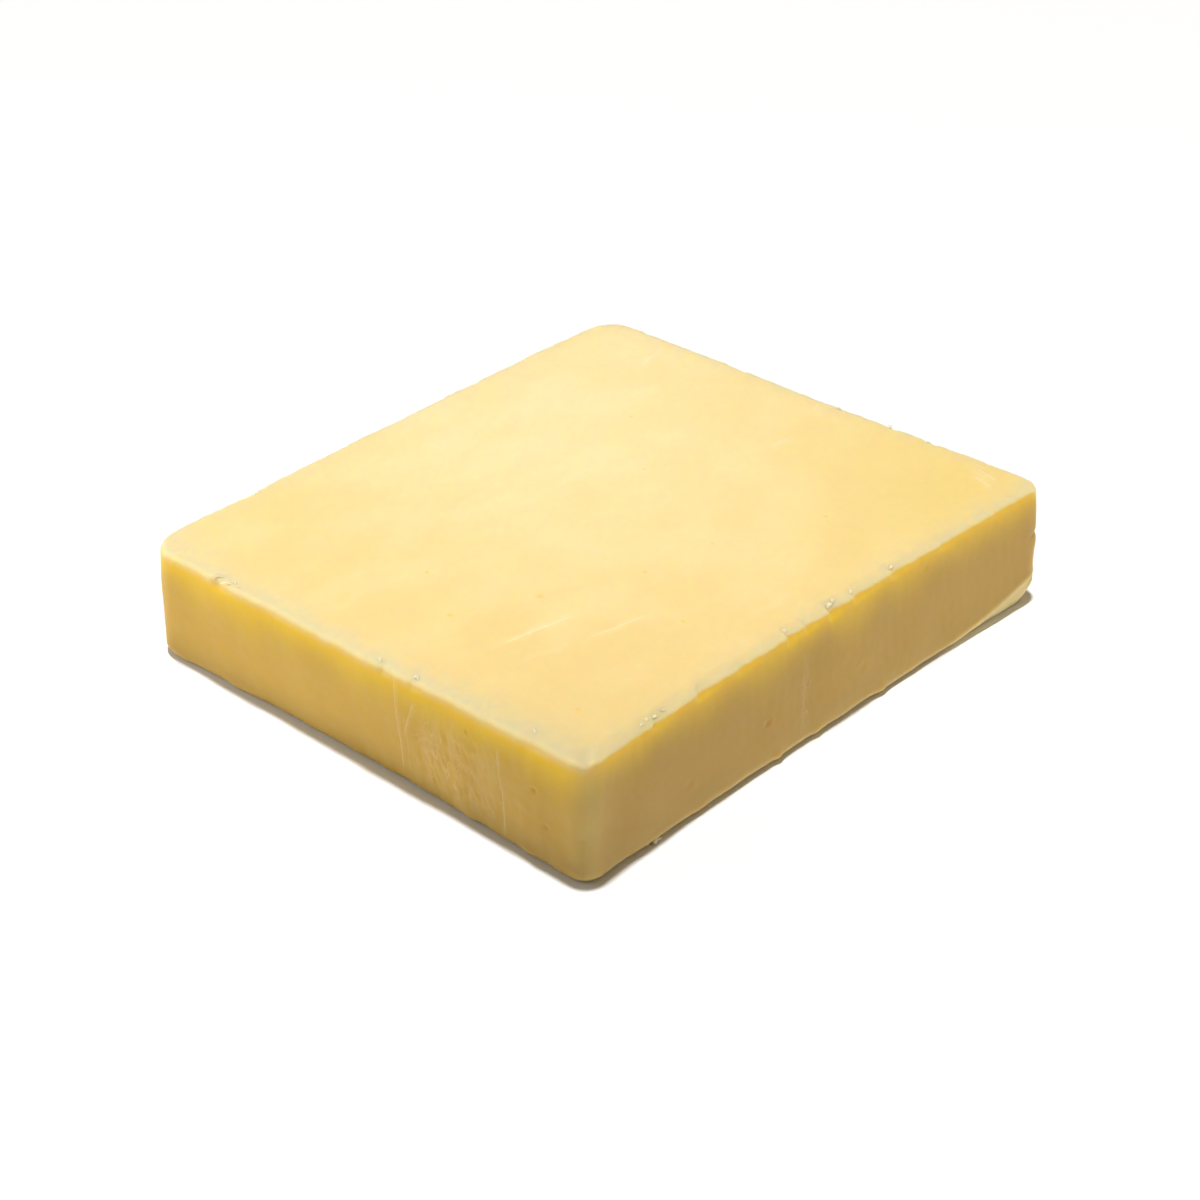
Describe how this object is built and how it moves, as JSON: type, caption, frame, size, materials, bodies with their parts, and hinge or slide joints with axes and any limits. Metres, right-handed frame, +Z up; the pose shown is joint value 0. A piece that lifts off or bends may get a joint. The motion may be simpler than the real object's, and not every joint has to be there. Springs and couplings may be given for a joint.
{
  "type": "cheddar block",
  "caption": "Low, nearly square slab of pale yellow cheddar with rounded corners, a crisp worn top edge and slightly hollow sides.",
  "frame": {"origin": "middle of the flat underside, on the surface that the slab rests on", "axes": "+X along the long sides, +Y across the slab, +Z up through the top face"},
  "size_m": [0.133, 0.1149, 0.0259],
  "materials": {
    "cheese": "waxy, softly translucent, satin where it was pressed against film"
  },
  "bodies": {
    "root": {"cheddar_block": "cheese"}
  },
  "joints": []
}
